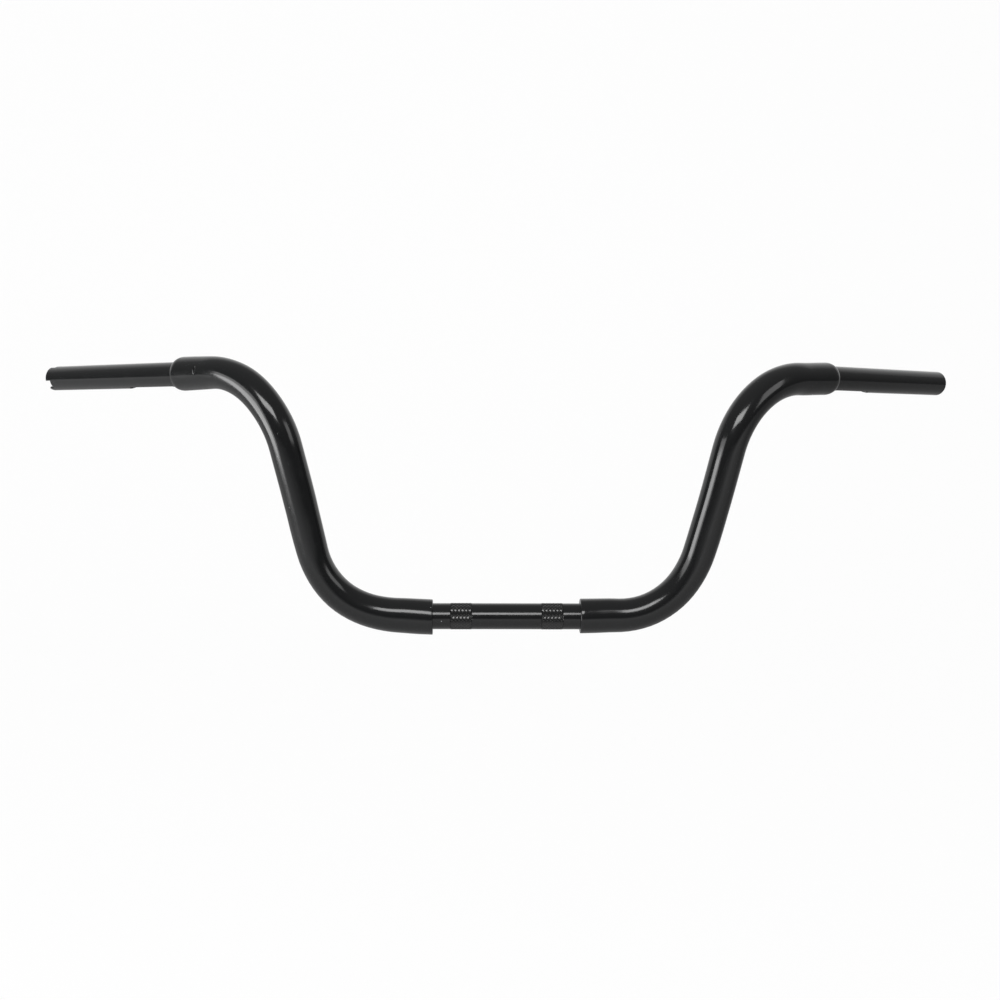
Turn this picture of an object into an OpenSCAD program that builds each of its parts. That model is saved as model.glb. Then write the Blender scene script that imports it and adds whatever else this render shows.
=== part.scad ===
// Ape hanger handlebar: five steel tubes, sleeved and welded into one rigid bar.
// +X is the rider's left, +Y points back to the rider, +Z is up.
// The origin is the middle of the clamp tube, on its axis.

/* [Thin tubes] */
// Outside diameter of the clamp tube and of both grip tubes
thin_d = 25.4; // [22:0.1:28]
// Wall of the clamp tube and of both grip tubes
thin_wall = 2.4; // [1.5:0.1:3.5]
// Bevel on the rims of the thin tubes
rim_bevel = 0.6; // [0.2:0.1:1]
// Depth that the hidden ends of the thin tubes are turned down, as a stop against the fat tubes
spigot_turn = 0.2; // [0.1:0.05:0.5]

/* [Fat tubes] */
// Wall of the bent fat tubes
fat_wall = 3.275; // [2:0.025:5]
// Gap all round between a hidden end and the fat tube that it slides into
sleeve_gap = 0.1; // [0.05:0.05:0.3]
// Bevel on the square inner end of each fat tube
sleeve_bevel = 1; // [0.4:0.1:1.6]
// Length over which the outer end of each fat tube rounds down to the grip tube
shoulder_l = 8; // [5:0.5:14]
// Step left between the rounded shoulder and the grip tube
shoulder_step = 0.5; // [0.2:0.1:1]
// How far the fat tubes swell outward towards the clamp tube
sleeve_swell = 0.9; // [0:0.1:1.5]
// How far the fat tubes swell outward towards the grip tubes
shoulder_swell = 0.5; // [0:0.1:1.5]
// How much the bending stretches the wall thinner, inside and outside
bend_thinning = 0.05; // [0.02:0.01:0.3]

/* [Clamp tube] */
// Bare length of the clamp tube between the two fat tubes
clamp_bare_l = 144; // [120:1:220]
// Length of clamp tube hidden in each fat tube
clamp_overlap = 28; // [15:1:60]
// Distance between the middles of the two knurled bands, as between two risers
knurl_spacing = 88.9; // [70:0.1:110]
// Length of each knurled band
knurl_l = 21; // [15:1:30]
// How far the knurling stands proud of the tube
knurl_raise = 0.2; // [0.1:0.05:0.4]
// Length of the wire exit slot below the middle
exit_slot_l = 38; // [20:1:50]
// Width of the wire exit slot
exit_slot_w = 12; // [6:0.5:14]
// How far the exit slot is turned from straight down to the rider's side
exit_slot_turn = 20; // [0:1:40]

/* [Bends] */
// Straight fat tube between the hidden end of the clamp tube and the lower bend
lower_rest = 5; // [2:1:40]
// Centreline radius of the lower bend
lower_bend_r = 85; // [60:1:130]
// Lean of the risers, outward from upright
riser_lean = 13.4; // [2:0.1:30]
// Straight length of each riser between its bends
riser_l = 104.5; // [40:0.5:400]
// Centreline radius of the upper bend
upper_bend_r = 80; // [60:1:130]
// Sweep of the grips, back from sideways
grip_sweep = 37.8; // [10:0.1:60]
// Droop of the grips below level
grip_droop = 5.6; // [-10:0.1:25]
// Straight fat tube between the upper bend and the hidden end of the grip tube
upper_rest = 9; // [2:1:40]

/* [Grip tubes] */
// Length of each grip tube hidden in its fat tube
grip_overlap = 38; // [15:1:70]
// Bare length of the throttle side grip tube
throttle_grip_l = 200; // [140:1:260]
// Bare length of the clutch side grip tube
clutch_grip_l = 186.5; // [140:0.5:260]
// Width of the wire slots below the grip tubes
wire_slot_w = 12.7; // [6:0.1:13]
// Length of the wire slot on the throttle side
throttle_slot_l = 75; // [20:0.5:100]
// Length of the wire slot on the clutch side
clutch_slot_l = 62.5; // [20:0.5:90]
// Bare grip tube left between the shoulder and the wire slot
wire_slot_offset = 1; // [0.5:0.5:10]

/* [Throttle end] */
// Number of notches that key the throttle sensor
notch_count = 3; // [2:1:5]
// Depth of each notch along the tube
notch_depth = 7.5; // [3:0.5:12]
// Angle that each notch spans
notch_span = 44; // [20:1:60]
// Angle of the first notch, round from straight down
notch_turn = 58; // [0:1:120]

/* [Hidden] */
$fn = 96;
PAINT = "#1b1c1e";
CUT = 1;                                   // reach of a cutter past the surface it opens
LAP = 0.4;                                 // reach of a straight stretch into the bend beside it
SHOULDER_STEPS = 8;                        // cones that make up the rounded shoulder

thin_bore_d = thin_d - 2 * thin_wall;
spigot_d = thin_d - 2 * spigot_turn;
fat_bore_d = spigot_d + 2 * sleeve_gap;
fat_d = fat_bore_d + 2 * fat_wall;
sleeve_r = fat_d / 2 + sleeve_swell;       // outside radius of a fat tube at its inner end
sleeve_x = clamp_bare_l / 2;               // inner end of each fat tube
lower_straight = clamp_overlap + lower_rest;
upper_straight = upper_rest + grip_overlap;

// Directions of the riser and of the grip, seen on the clutch side
riser_dir = [sin(riser_lean), 0, cos(riser_lean)];
grip_dir = [
    cos(grip_sweep) * cos(grip_droop),
    sin(grip_sweep) * cos(grip_droop),
    -sin(grip_droop)
];
// The tube's own frame on the riser: x lies in the plane of the lower bend
riser_x = [-cos(riser_lean), 0, sin(riser_lean)];
riser_y = [0, -1, 0];
// Bending data: how far the tube turns in each bend, and its roll between them
lower_angle = 90 - riser_lean;
upper_angle = acos(riser_dir * grip_dir);
roll_angle = atan2(grip_dir * riser_y, grip_dir * riser_x);
// The tube's own frame after the upper bend, and where straight down lies round it
rolled_x = cos(roll_angle) * riser_x + sin(roll_angle) * riser_y;
rolled_y = cos(roll_angle) * riser_y - sin(roll_angle) * riser_x;
grip_x = cos(upper_angle) * rolled_x - sin(upper_angle) * riser_dir;
down_angle = atan2(-rolled_y[2], -grip_x[2]);

// A point on the quarter ellipse of the shoulder, for a share t of its steps
function shoulder_point(t) = [
    fat_bore_d / 2 + shoulder_step + (fat_wall + shoulder_swell - shoulder_step) * cos(90 * t),
    upper_straight - shoulder_l + shoulder_l * sin(90 * t)
];

// The wall of the fat tube, less some thinning on both of its faces
module fat_section(thinning = 0) {
    difference() {
        circle(d = fat_d - 2 * thinning);
        circle(d = fat_bore_d + 2 * thinning);
    }
}

// A straight stretch along z between two bends, with the children placed at its end
module straight(length, drawn) {
    if (drawn)
        translate([0, 0, -LAP])
            linear_extrude(length + 2 * LAP)
                fat_section();
    translate([0, 0, length]) children();
}

// A bend from z towards x, with the children placed at its end
module bend(radius, angle, drawn) {
    if (drawn)
        translate([radius, 0, 0])
            rotate([90, 0, 180])
                rotate_extrude(angle = angle)
                    translate([radius, 0])
                        fat_section(bend_thinning);
    translate([radius * (1 - cos(angle)), 0, radius * sin(angle)])
        rotate([0, angle, 0])
            children();
}

// The square inner end of a fat tube, swollen and bevelled where it meets the clamp tube
module sleeve_end() {
    rotate_extrude()
        polygon([
            [fat_bore_d / 2, 0],
            [sleeve_r - sleeve_bevel, 0],
            [sleeve_r, sleeve_bevel],
            [fat_d / 2, lower_straight],
            [fat_d / 2, lower_straight + LAP],
            [fat_bore_d / 2, lower_straight + LAP]
        ]);
}

// The outer end of a fat tube, rounded down to the grip tube
module shoulder_end() {
    rotate_extrude()
        polygon(concat(
            [[fat_bore_d / 2, -LAP], [fat_d / 2, -LAP], [fat_d / 2, 0]],
            [for (i = [0:SHOULDER_STEPS]) shoulder_point(i / SHOULDER_STEPS)],
            [[fat_bore_d / 2, upper_straight]]
        ));
}

// Puts the children where the clutch side fat tube starts, z along it and x upward
module at_sleeve() {
    translate([sleeve_x, 0, 0])
        rotate([180, 0, 0])
            rotate([0, 90, 0])
                children();
}

// Follows the bends of the clutch side and puts the children after the upper one
module through_bends(drawn) {
    bend(lower_bend_r, lower_angle, drawn)
        straight(riser_l, drawn)
            rotate([0, 0, roll_angle])
                bend(upper_bend_r, upper_angle, drawn)
                    children();
}

// One bent fat tube, on the clutch side
module riser_tube() {
    at_sleeve() {
        sleeve_end();
        translate([0, 0, lower_straight])
            through_bends(true)
                shoulder_end();
    }
}

// Puts the children on the grip axis where the grip tube leaves its shoulder:
// z points out along the grip, and x points down as far as it can
module at_grip() {
    at_sleeve()
        translate([0, 0, lower_straight])
            through_bends(false)
                translate([0, 0, upper_straight])
                    rotate([0, 0, down_angle])
                        children();
}

// The turned-down end of a thin tube, hidden in a fat tube: from z = 0 down to -length
module spigot(length) {
    rotate_extrude()
        polygon([
            [thin_bore_d / 2, -length],
            [spigot_d / 2 - rim_bevel, -length],
            [spigot_d / 2, rim_bevel - length],
            [spigot_d / 2, 0],
            [thin_bore_d / 2, 0]
        ]);
}

// The open end of a thin tube, from z = 0 up to length, with a bevelled rim
module open_end(length) {
    rotate_extrude()
        polygon([
            [thin_bore_d / 2, 0],
            [thin_d / 2, 0],
            [thin_d / 2, length - rim_bevel],
            [thin_d / 2 - rim_bevel, length],
            [thin_bore_d / 2, length]
        ]);
}

// Cutter for a round-ended slot through the wall on the x side, from z = 0 upward
module slot_cutter(length, width) {
    rotate([0, 90, 0]) {
        linear_extrude(thin_d / 2 + CUT) {
            translate([-width / 2, 0])
                circle(d = width);
            translate([-length + width / 2, 0])
                circle(d = width);
            translate([-length + width / 2, -width / 2])
                square([length - width, width]);
        }
    }
}

// Cutter for one notch in the rim at z = 0, centred on x
module notch_cutter() {
    reach = thin_d / 2 + CUT;
    side = reach * tan(notch_span / 2);
    translate([0, 0, -notch_depth])
        linear_extrude(notch_depth + CUT)
            polygon([[0, 0], [reach, -side], [reach, side]]);
}

// A grip tube of the clutch side: hidden stretch, bare stretch and wire slot
module grip_tube(bare_l, slot_l) {
    difference() {
        union() {
            spigot(grip_overlap);
            open_end(bare_l);
        }
        translate([0, 0, wire_slot_offset])
            slot_cutter(slot_l, wire_slot_w);
    }
}

// One half of the clamp tube, from its middle along z
module clamp_half() {
    translate([0, 0, sleeve_x])
        mirror([0, 0, 1])
            spigot(clamp_overlap);
    rotate_extrude() {
        translate([thin_bore_d / 2, 0])
            square([thin_wall, sleeve_x]);
        translate([thin_bore_d / 2, (knurl_spacing - knurl_l) / 2])
            square([thin_wall + knurl_raise, knurl_l]);
    }
}

module clamp_tube() {
    color(PAINT)
        rotate([0, 90, 0])
            difference() {
                union() {
                    clamp_half();
                    mirror([0, 0, 1])
                        clamp_half();
                }
                rotate([0, 0, exit_slot_turn])
                    translate([0, 0, -exit_slot_l / 2])
                        slot_cutter(exit_slot_l, exit_slot_w);
            }
}

module clutch_side_riser() {
    color(PAINT)
        riser_tube();
}

module throttle_side_riser() {
    color(PAINT)
        mirror([1, 0, 0])
            riser_tube();
}

module clutch_grip_tube() {
    color(PAINT)
        at_grip()
            grip_tube(clutch_grip_l, clutch_slot_l);
}

module throttle_grip_tube() {
    color(PAINT)
        mirror([1, 0, 0])
            at_grip()
                difference() {
                    grip_tube(throttle_grip_l, throttle_slot_l);
                    translate([0, 0, throttle_grip_l])
                        for (i = [0:notch_count - 1])
                            rotate([0, 0, notch_turn + i * 360 / notch_count])
                                notch_cutter();
                }
}

clamp_tube();
throttle_side_riser();
clutch_side_riser();
throttle_grip_tube();
clutch_grip_tube();
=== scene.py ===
"""Ape hanger handlebar in gloss black enamel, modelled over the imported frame.

Everything is in metres in the frame of the CAD model: +X is the rider's left,
+Y points back to the rider and +Z is up. The origin is the middle of the clamp tube.
"""

import contextlib
import math

import bmesh
import bpy
from bpy.props import FloatProperty, FloatVectorProperty, IntProperty, PointerProperty
from mathutils import Matrix, Vector


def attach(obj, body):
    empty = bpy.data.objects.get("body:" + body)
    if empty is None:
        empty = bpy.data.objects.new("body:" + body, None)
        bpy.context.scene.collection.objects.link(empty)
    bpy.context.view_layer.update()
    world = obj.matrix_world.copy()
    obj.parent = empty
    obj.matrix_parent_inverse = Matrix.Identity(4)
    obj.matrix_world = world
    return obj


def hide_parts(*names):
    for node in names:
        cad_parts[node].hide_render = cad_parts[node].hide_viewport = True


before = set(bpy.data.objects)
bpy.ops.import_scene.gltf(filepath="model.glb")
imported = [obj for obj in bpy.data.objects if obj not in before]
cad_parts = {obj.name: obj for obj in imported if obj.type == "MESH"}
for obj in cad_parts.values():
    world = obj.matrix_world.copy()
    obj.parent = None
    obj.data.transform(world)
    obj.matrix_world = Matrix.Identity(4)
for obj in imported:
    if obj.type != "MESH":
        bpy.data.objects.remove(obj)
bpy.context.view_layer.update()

bl_info = {
    "name": "Ape hanger handlebar",
    "version": (1, 0, 0),
    "blender": (4, 5, 0),
    "location": "3D View > Sidebar > Handlebar",
    "description": "Models a sleeved and welded ape hanger handlebar with its studio",
    "category": "Object",
}

MM = 0.001
ACROSS = Vector((1.0, 0.0, 0.0))

ROUND_SIDES = 96           # sides of every round tube
SLOT_SIDES = 48            # sides of the round ends of a slot
CREASE = 35.0              # in degrees, edges that bend more than this look sharp
RING_SLACK = 0.00005       # how far off its plane a vertex of a ring may lie
RING_REACH = 0.03          # no vertex of a ring lies farther from its centre
DOUBLES = 0.000005         # vertices nearer to each other than this are one
SLIVER = 0.00003           # a face narrower than this is a leftover of a cut
CUT_SLACK = 0.01           # share of a slot's width by which its middle is cleared
WEDGE_POINT = 0.02         # width of a notch's wedge at the axis, as a share of its rim's
KNURL_LIP = 0.25 * MM      # plain tube between the turned tube and the knurled band
KNURL_LIP_REACH = 0.3 * MM # a little more, to pick the lip's faces by
KNURL_SKIN = 0.5 * MM      # what lies deeper than this below the knurl is no part of it
DIAMOND_LIMIT = 20 * MM * MM       # no diamond of the knurl is larger than this
BORE_SLACK = 0.2 * MM      # how far outside the bore's radius its faces may lie
RIM_TILT = 0.5             # a face that looks more along the tube than this is a rim


def linear_colour(hex_code):
    """Turns an sRGB hex colour into the linear values that Blender's sockets take."""
    parts = [int(hex_code[i:i + 2], 16) / 255 for i in (1, 3, 5)]
    return tuple(p / 12.92 if p <= 0.04045 else ((p + 0.055) / 1.055) ** 2.4 for p in parts)


def a_length(name, description, millimetres):
    """A property that holds a length, in metres."""
    return FloatProperty(
        name=name, description=description, default=millimetres * MM, unit="LENGTH")


def an_angle(name, description, degrees):
    """A property that holds an angle, in radians."""
    return FloatProperty(
        name=name, description=description, default=math.radians(degrees), subtype="ANGLE",
        unit="ROTATION")


def a_colour(name, description, hex_code):
    """A property that holds a colour."""
    return FloatVectorProperty(
        name=name, description=description, default=linear_colour(hex_code), subtype="COLOR",
        size=3, min=0, max=1)


class ThinTubeSizes(bpy.types.PropertyGroup):
    """Sizes that the clamp tube and both grip tubes share."""

    diameter: a_length("Diameter", "Outside diameter of the thin tubes", 25.4)
    bore: a_length("Bore", "Inside diameter of the thin tubes", 20.6)
    seat_diameter: a_length(
        "Seat diameter", "Diameter that the hidden ends are turned down to", 25.0)
    rim_bevel: a_length("Rim bevel", "Bevel on the rims of the thin tubes", 0.6)


class FatTubeSizes(bpy.types.PropertyGroup):
    """Sizes of the two bent fat tubes."""

    diameter: a_length("Diameter", "Outside diameter of the fat tubes", 31.75)
    bore: a_length("Bore", "Inside diameter of the fat tubes", 25.2)
    sleeve_width: a_length("Sleeve width", "Outside diameter at the swollen inner end", 34.0)
    shoulder_width: a_length("Shoulder width", "Outside diameter at the swollen outer end", 32.75)
    sleeve_bevel: a_length("Sleeve bevel", "Bevel on the square inner end", 1.0)
    shoulder_length: a_length(
        "Shoulder length", "Length over which the outer end rounds down", 8.0)
    shoulder_step: a_length("Shoulder step", "Step left between the shoulder and the bore", 0.5)
    lower_straight: a_length("Lower straight", "Straight tube before the lower bend", 33.0)
    lower_radius: a_length("Lower bend radius", "Centreline radius of the lower bend", 85.0)
    riser_length: a_length("Riser length", "Straight tube between the two bends", 104.5)
    upper_radius: a_length("Upper bend radius", "Centreline radius of the upper bend", 80.0)
    upper_straight: a_length("Upper straight", "Straight tube after the upper bend", 47.0)
    riser_lean: an_angle("Riser lean", "Lean of the risers, outward from upright", 13.4)
    grip_sweep: an_angle("Grip sweep", "Sweep of the grips, back from sideways", 37.8)
    grip_droop: an_angle("Grip droop", "Droop of the grips below level", 5.6)
    nick_depth: a_length("Nick depth", "Depth of the nick by the throttle side shoulder", 0.9)
    nick_place: a_length("Nick place", "Distance of the nick past the upper bend", 9.0)


class ClampTubeSizes(bpy.types.PropertyGroup):
    """Sizes of the clamp tube and its knurling."""

    bare_length: a_length("Bare length", "Clamp tube seen between the two fat tubes", 144.0)
    overlap: a_length("Overlap", "Clamp tube hidden in each fat tube", 28.0)
    knurl_spacing: a_length(
        "Knurl spacing", "Distance between the middles of the knurled bands", 88.9)
    knurl_length: a_length("Knurl length", "Length of each knurled band", 21.0)
    knurl_raise: a_length("Knurl raise", "How far the grooves lie over the plain tube", -0.15)
    knurl_relief: a_length("Knurl relief", "Height of each diamond over its grooves", 0.5)
    knurl_columns: IntProperty(
        name="Knurl columns", description="Diamonds round each band", default=24, min=8)
    knurl_rows: IntProperty(
        name="Knurl rows", description="Diamonds along each band", default=6, min=2)
    exit_slot_length: a_length("Exit slot length", "Length of the wire exit slot", 38.0)
    exit_slot_width: a_length("Exit slot width", "Width of the wire exit slot", 12.0)
    exit_slot_turn: an_angle(
        "Exit slot turn", "Turn of the slot from straight down to the rider", 20.0)


class GripTubeSizes(bpy.types.PropertyGroup):
    """Sizes of the two grip tubes."""

    overlap: a_length("Overlap", "Grip tube hidden in its fat tube", 38.0)
    throttle_length: a_length(
        "Throttle side length", "Bare length of the throttle side grip tube", 200.0)
    clutch_length: a_length(
        "Clutch side length", "Bare length of the clutch side grip tube", 186.5)
    slot_width: a_length("Wire slot width", "Width of the wire slots below the grips", 12.7)
    slot_offset: a_length("Wire slot offset", "Tube left between the shoulder and the slot", 1.0)
    throttle_slot_length: a_length(
        "Throttle slot length", "Length of the throttle side wire slot", 75.0)
    clutch_slot_length: a_length("Clutch slot length", "Length of the clutch side wire slot", 62.5)
    notch_count: IntProperty(
        name="Notches", description="Notches that key the throttle sensor", default=3)
    notch_depth: a_length("Notch depth", "Depth of each notch along the tube", 7.5)
    notch_span: an_angle("Notch span", "Angle that each notch spans", 44.0)
    notch_turn: an_angle("Notch turn", "Angle of the first notch, round from straight down", 58.0)


class FinishColours(bpy.types.PropertyGroup):
    """Colours of the enamel, the dust on it and the steel inside."""

    enamel: a_colour("Enamel", "Colour of the gloss black enamel", "#090a0b")
    dust: a_colour("Dust", "Colour of the specks of dust on the enamel", "#9a9da0")
    steel: a_colour("Steel", "Colour of the bare steel inside the tubes", "#6f6c68")


class StudioSizes(bpy.types.PropertyGroup):
    """Sizes and levels of the studio."""

    floor_drop: FloatProperty(
        name="Floor drop", description="Height of the clamp tube over the floor",
        default=0.62, unit="LENGTH")
    backdrop_distance: FloatProperty(
        name="Backdrop distance", description="How far the backdrop stands behind the bar",
        default=2.6, unit="LENGTH")
    paper: a_colour("Paper", "Colour of the floor and the backdrop", "#ffffff")
    room_light: FloatProperty(
        name="Room light", description="Level of the room at eye height", default=0.22, min=0)


def sizes(name):
    """The property group of that name on the scene."""
    return getattr(bpy.context.scene, name)


@contextlib.contextmanager
def editing(piece):
    """Opens a piece in edit mode with all of it selected, and closes it at the end."""
    bpy.context.view_layer.objects.active = piece
    bpy.ops.object.mode_set(mode="EDIT")
    bpy.ops.mesh.select_all(action="SELECT")
    yield
    bpy.ops.object.mode_set(mode="OBJECT")


def hold(piece):
    """Makes a piece the only one that is selected, and the active one."""
    empty_hands()
    piece.select_set(True)
    bpy.context.view_layer.objects.active = piece


def empty_hands():
    """Leaves edit mode and deselects everything."""
    if bpy.context.object and bpy.context.object.mode != "OBJECT":
        bpy.ops.object.mode_set(mode="OBJECT")
    bpy.ops.object.select_all(action="DESELECT")


def lay_ring(centre, along, radius, sides=ROUND_SIDES):
    """Adds a bare ring of tube at its place and leaves it alone selected."""
    bpy.ops.mesh.primitive_circle_add(
        vertices=sides, radius=radius, fill_type="NOTHING",
        location=centre, rotation=Vector(along).to_track_quat("Z", "Y").to_euler())


def start_piece(name, centre, along, radius):
    """A new piece that is one ring, at the world's origin, open in edit mode."""
    empty_hands()
    lay_ring(centre, along, radius)
    piece = bpy.context.object
    piece.name = piece.data.name = name
    bpy.ops.object.transform_apply(location=True, rotation=True, scale=True)
    bpy.ops.object.mode_set(mode="EDIT")
    bpy.ops.mesh.select_all(action="SELECT")
    return piece


def pull(way, centre=None, growth=1.0):
    """Pulls the selected ring out by a way, and sizes the new ring about its centre."""
    bpy.ops.mesh.extrude_region_move(TRANSFORM_OT_translate={"value": tuple(way)})
    if growth != 1.0:
        bpy.ops.transform.resize(value=(growth,) * 3, center_override=tuple(centre))


def turn_out(along, centre, profile, start_radius):
    """Pulls a ring through the (distance, radius) points of a profile along one axis."""
    place, radius = 0.0, start_radius
    for distance, wanted in profile:
        pull(along * (distance - place), centre + along * distance, wanted / radius)
        place, radius = distance, wanted


def even_run(run, radius, steps, start=0.0):
    """The (distance, radius) points of a plain run of tube, evenly spaced."""
    return [(start + run * i / steps, radius) for i in range(1, steps + 1)]


def pick(piece, wanted, kind="verts"):
    """Selects only those vertices, edges or faces that the test wants."""
    bpy.ops.mesh.select_all(action="DESELECT")
    mesh = bmesh.from_edit_mesh(piece.data)
    for part in getattr(mesh, kind):
        if wanted(part):
            part.select_set(True)
    mesh.select_flush_mode()
    bmesh.update_edit_mesh(piece.data)


def on_ring(centre, along):
    """A test for the vertices of the rings round a centre."""
    def wanted(vertex):
        """Whether a vertex lies on one of the rings."""
        away = vertex.co - centre
        return abs(away.dot(along)) < RING_SLACK and away.length < RING_REACH
    return wanted


def face_out():
    """Turns the open outer skin outward, before the bore is laid inside it."""
    bpy.ops.mesh.select_all(action="SELECT")
    bpy.ops.mesh.normals_make_consistent(inside=False)
    bpy.ops.mesh.select_all(action="DESELECT")


def close_rims(piece, rims):
    """Bridges the outer and the inner ring at each open rim of a tube."""
    for centre, along in rims:
        test = on_ring(centre, along)
        pick(piece, lambda edge: edge.is_boundary and all(test(v) for v in edge.verts), "edges")
        bpy.ops.mesh.bridge_edge_loops()


def place_piece(piece, matrix):
    """Puts a piece that was modelled at the origin in its place, within its mesh."""
    hold(piece)
    piece.matrix_world = matrix
    bpy.ops.object.transform_apply(location=True, rotation=True, scale=True)


def mirror_piece(piece):
    """Swaps a piece from the clutch side to the throttle side and turns its faces out again."""
    with editing(piece):
        bpy.ops.transform.resize(value=(-1, 1, 1), center_override=(0, 0, 0))
        bpy.ops.mesh.flip_normals()


def tidy_surface(piece):
    """Merges doubles and shades the round faces smooth."""
    hold(piece)
    with editing(piece):
        bpy.ops.mesh.remove_doubles(threshold=DOUBLES)
    bpy.ops.object.shade_smooth_by_angle(angle=math.radians(CREASE), keep_sharp_edges=False)


def cut_away(piece, cutters):
    """Cuts each cutter out of the piece and throws the cutters away."""
    for cutter in cutters:
        empty_hands()
        bpy.context.view_layer.objects.active = piece
        cut = piece.modifiers.new("cut", "BOOLEAN")
        cut.operation, cut.solver, cut.object = "DIFFERENCE", "EXACT", cutter
        bpy.ops.object.modifier_apply(modifier=cut.name)
        bpy.data.objects.remove(cutter)


def weld_slivers(piece):
    """Welds the slivers that the cuts leave, so that the mesh stays closed."""
    with editing(piece):
        bpy.ops.mesh.remove_doubles(threshold=SLIVER)
        bpy.ops.mesh.dissolve_degenerate(threshold=SLIVER)


def slot_cutter(start, slot_length, width, reach):
    """A round-ended cutter along z from start, reaching out from the axis towards x."""
    empty_hands()
    middle = start + width / 2
    bpy.ops.mesh.primitive_circle_add(
        vertices=SLOT_SIDES, radius=width / 2, fill_type="NGON",
        location=(0, 0, middle), rotation=(0, math.pi / 2, 0))
    cutter = bpy.context.object
    bpy.ops.object.transform_apply(location=True, rotation=True, scale=True)
    with editing(cutter):
        pick(cutter, lambda v: v.co.z > middle + width * CUT_SLACK)
        bpy.ops.transform.translate(value=(0, 0, slot_length - width))
        bpy.ops.mesh.select_all(action="SELECT")
        bpy.ops.mesh.extrude_region_move(TRANSFORM_OT_translate={"value": (reach, 0, 0)})
        bpy.ops.mesh.select_all(action="SELECT")
        bpy.ops.mesh.normals_make_consistent(inside=False)
    return cutter


def finish_piece(piece, node, materials):
    """Rides the piece on the bar, lets it stand for its CAD node and gives it its finish."""
    for material in materials:
        piece.data.materials.append(material)
    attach(piece, "root")
    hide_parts(node)


class FatRoute:
    """The centreline of the clutch side fat tube, worked out from its bending data."""

    def __init__(self):
        fat, clamp = sizes("fat_tube"), sizes("clamp_tube")
        sin, cos = math.sin, math.cos
        self.riser_way = Vector((sin(fat.riser_lean), 0, cos(fat.riser_lean)))
        self.grip_way = Vector((
            cos(fat.grip_sweep) * cos(fat.grip_droop),
            sin(fat.grip_sweep) * cos(fat.grip_droop),
            -sin(fat.grip_droop)))
        self.start = ACROSS * clamp.bare_length / 2
        self.lower_start = self.start + ACROSS * fat.lower_straight
        self.lower_angle = ACROSS.angle(self.riser_way)
        self.lower_centre, self.lower_axis, self.lower_end = self.bend(
            self.lower_start, ACROSS, self.riser_way, fat.lower_radius, self.lower_angle)
        self.upper_start = self.lower_end + self.riser_way * fat.riser_length
        self.upper_angle = self.riser_way.angle(self.grip_way)
        self.upper_centre, self.upper_axis, self.upper_end = self.bend(
            self.upper_start, self.riser_way, self.grip_way, fat.upper_radius,
            self.upper_angle)
        self.grip_start = self.upper_end + self.grip_way * fat.upper_straight

    @staticmethod
    def bend(start, way_in, way_out, radius, angle):
        """The centre, axis and end of a bend from one direction into another."""
        inward = (way_out - way_in * way_in.dot(way_out)).normalized()
        centre = start + inward * radius
        axis = way_in.cross(inward)
        end = centre - inward * radius * math.cos(angle) + way_in * radius * math.sin(angle)
        return centre, axis, end

    def grip_frame(self):
        """The place of the grip tube: z out along the grip, x as far down as it goes."""
        down = Vector((0, 0, -1))
        down = (down - self.grip_way * down.dot(self.grip_way)).normalized()
        side = self.grip_way.cross(down)
        frame_matrix = Matrix((down, side, self.grip_way)).transposed().to_4x4()
        frame_matrix.translation = self.grip_start
        return frame_matrix


def spin_bend(angle, centre, axis, steps):
    """Sweeps the selected ring round a bend."""
    bpy.ops.mesh.spin(steps=steps, angle=-angle, center=tuple(centre), axis=tuple(axis))


LOWER_STEPS, RISER_STEPS, UPPER_STEPS = 18, 8, 20
BEVEL_STEPS, DOME_STEPS = 4, 12
SWELL_CURVE = 1.5          # how the swollen ends grow: 1 would be a cone, 2 a parabola
SLEEVE_SHARES = (0.1, 0.25, 0.45, 0.65, 0.85, 1.0)
OVAL_SHARE = 0.3           # how much of a squeeze comes out as width the other way

# Rings of the shoulder end, in mm past the upper bend, closest together round the nick
SHOULDER_MARKS = [2, 4] + [5.625 + 0.75 * i for i in range(10)] + [14, 17, 20, 24, 28, 31, 34, 37]

# The nick: how far it faces sideways and up, how far from its middle it reaches, and the ovals
# that press it, each with its half length, half width in mm and share of the depth
NICK_SIDEWAYS, NICK_UP = 0.93, 0.36
NICK_REACH = 6 * MM
NICK_OVALS = ((4.0, 1.7, 0.3), (3.3, 1.1, 0.35), (2.6, 0.6, 0.35))

# How bending and swaging left each fat tube: distance along it from its inner end, its width
# as seen from the front, and how far its middle lies above the plain route, all in mm
DRAWN_SHAPES = {
    "throttle": (
        (0, 34.6, -0.9), (16, 34.8, -0.2), (33, 34.2, 0.8), (50, 33.2, 1.1), (70, 32.1, 0.4),
        (95, 30.9, -0.6), (130, 30.0, -0.6), (165, 31.3, -0.5), (205, 31.2, 0.2),
        (250, 31.5, 0.1), (290, 31.5, 0.2), (325, 31.2, 1.2), (350, 30.9, 1.2),
        (375, 32.2, 1.1), (400, 33.4, 0.9), (420, 33.8, 0.6)),
    "clutch": (
        (0, 34.0, 0.4), (16, 33.9, 0.7), (33, 33.4, 1.1), (50, 32.6, 0.4), (70, 31.9, -0.2),
        (95, 31.4, 0.0), (130, 31.4, 0.9), (165, 32.0, -0.1), (205, 31.4, -0.5),
        (250, 31.4, -0.1), (290, 31.5, 0.0), (325, 31.9, -0.7), (350, 31.9, -1.6),
        (375, 32.2, -1.6), (400, 32.3, -0.6), (420, 32.6, 0.1)),
}


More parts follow.
